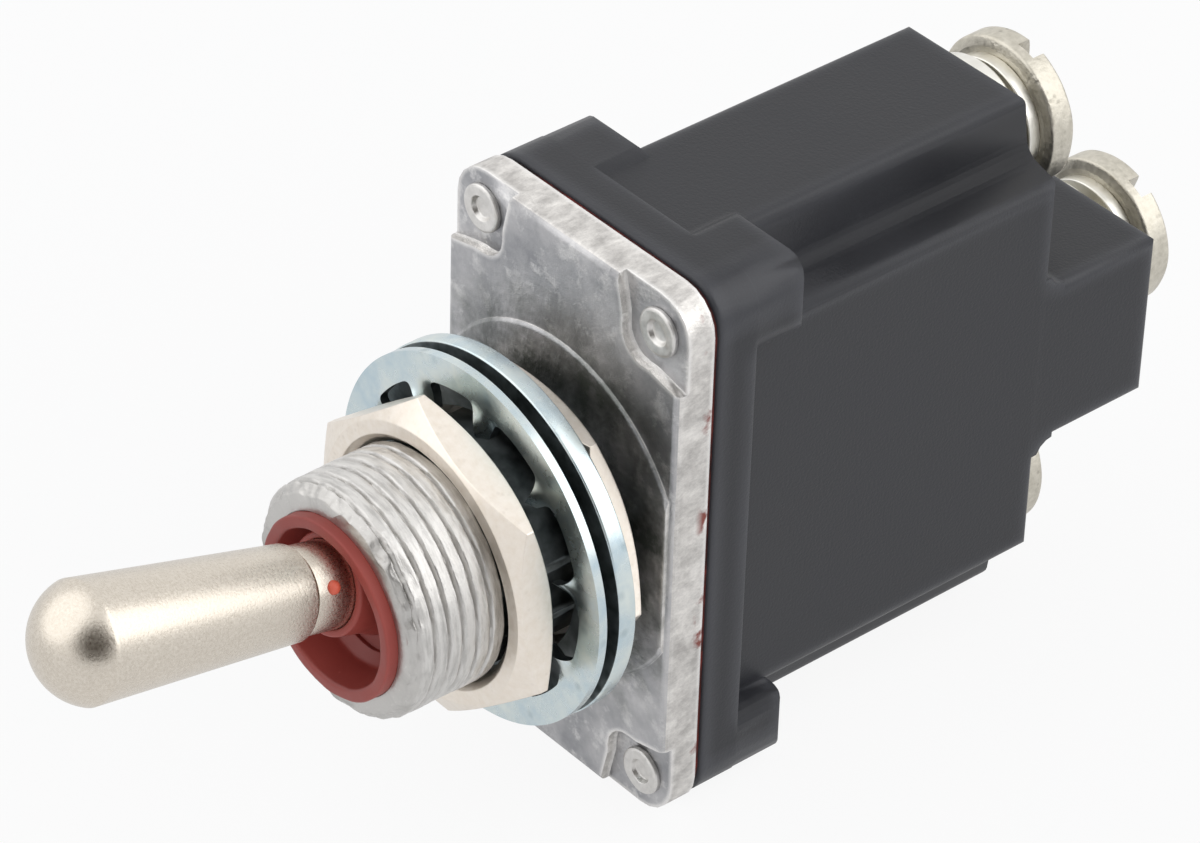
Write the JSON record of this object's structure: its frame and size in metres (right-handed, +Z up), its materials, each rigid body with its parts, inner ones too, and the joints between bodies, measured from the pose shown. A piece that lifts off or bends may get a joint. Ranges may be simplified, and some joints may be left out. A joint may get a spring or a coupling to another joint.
{
  "type": "panel toggle switch",
  "caption": "Sealed panel-mount toggle switch with a threaded bushing, a bat lever in a red rubber seal, a moulded case with rivets and slotted screw terminals.",
  "frame": {"origin": "on the bushing's axis, in the front face of the flange's raised pad, which is the face that the panel seats against", "axes": "-Y out of the panel along the bushing towards the lever; +Z up the case's long side, the way the lever points at rest; +X across the case's thin side"},
  "size_m": [0.0184, 0.0652, 0.029],
  "materials": {
    "case_plastic": "matte moulded charcoal",
    "cast_metal": "rough cast",
    "red_rubber": "matte brick red",
    "rivet_metal": "bright rolled",
    "satin_nickel": "satin nickel plate",
    "steel": "plain",
    "brass_part": "plain",
    "nut_plating": "matte champagne plate",
    "zinc_plating": "pale blue zinc plate",
    "terminal_plating": "bright tin plate",
    "screw_plating": "dull silver plate",
    "plunger_plastic": "plain",
    "copper": "copper",
    "silver": "silver contact"
  },
  "bodies": {
    "housing": {"case": "case_plastic", "mounting_flange": "cast_metal", "flange_gasket": "red_rubber", "rivet_top_left": "rivet_metal", "rivet_top_right": "rivet_metal", "rivet_bottom_left": "rivet_metal", "rivet_bottom_right": "rivet_metal", "pivot_retainer": "brass_part", "lever_seal": "red_rubber", "front_nut": "nut_plating", "tooth_washer": "zinc_plating", "locking_ring": "zinc_plating", "rear_nut": "nut_plating", "terminal_upper": "terminal_plating", "terminal_middle": "terminal_plating", "terminal_lower": "terminal_plating", "terminal_screw_upper": "screw_plating", "terminal_screw_middle": "screw_plating", "terminal_screw_lower": "screw_plating", "lock_washer_upper": "screw_plating", "lock_washer_middle": "screw_plating", "lock_washer_lower": "screw_plating", "rocker_pin": "steel", "rocker_support": "brass_part", "fixed_contact_upper": "silver", "fixed_contact_lower": "silver"},
    "toggle": {"lever": "satin_nickel", "lever_pivot_pin": "steel", "plunger_spring": "steel"},
    "plunger_body": {"plunger": "plunger_plastic"},
    "rocker": {"rocker_contact": "copper", "moving_contact_upper": "silver", "moving_contact_lower": "silver"}
  },
  "joints": [
    {"name": "lever_tilt", "type": "hinge", "parent": "housing", "child": "toggle", "pos_m": [0, -0.0074, 0], "axis": [1, 0, 0], "range_deg": [0, 28], "deforming": ["lever_seal"]},
    {"name": "plunger_slide", "type": "slide", "parent": "toggle", "child": "plunger_body", "axis": [0, -0.9703, 0.2419], "range_m": [0, 0.0008], "stiffness_N_per_m": 500, "springref_m": -0.0005, "deforming": ["plunger_spring"]},
    {"name": "rocker_tilt", "type": "hinge", "parent": "housing", "child": "rocker", "pos_m": [0, 0.0116, 0], "axis": [1, 0, 0], "range_deg": [-14, 0]}
  ],
  "couplings": [
    {"joint": "rocker_tilt", "follows": "lever_tilt", "ratio": -0.5}
  ]
}
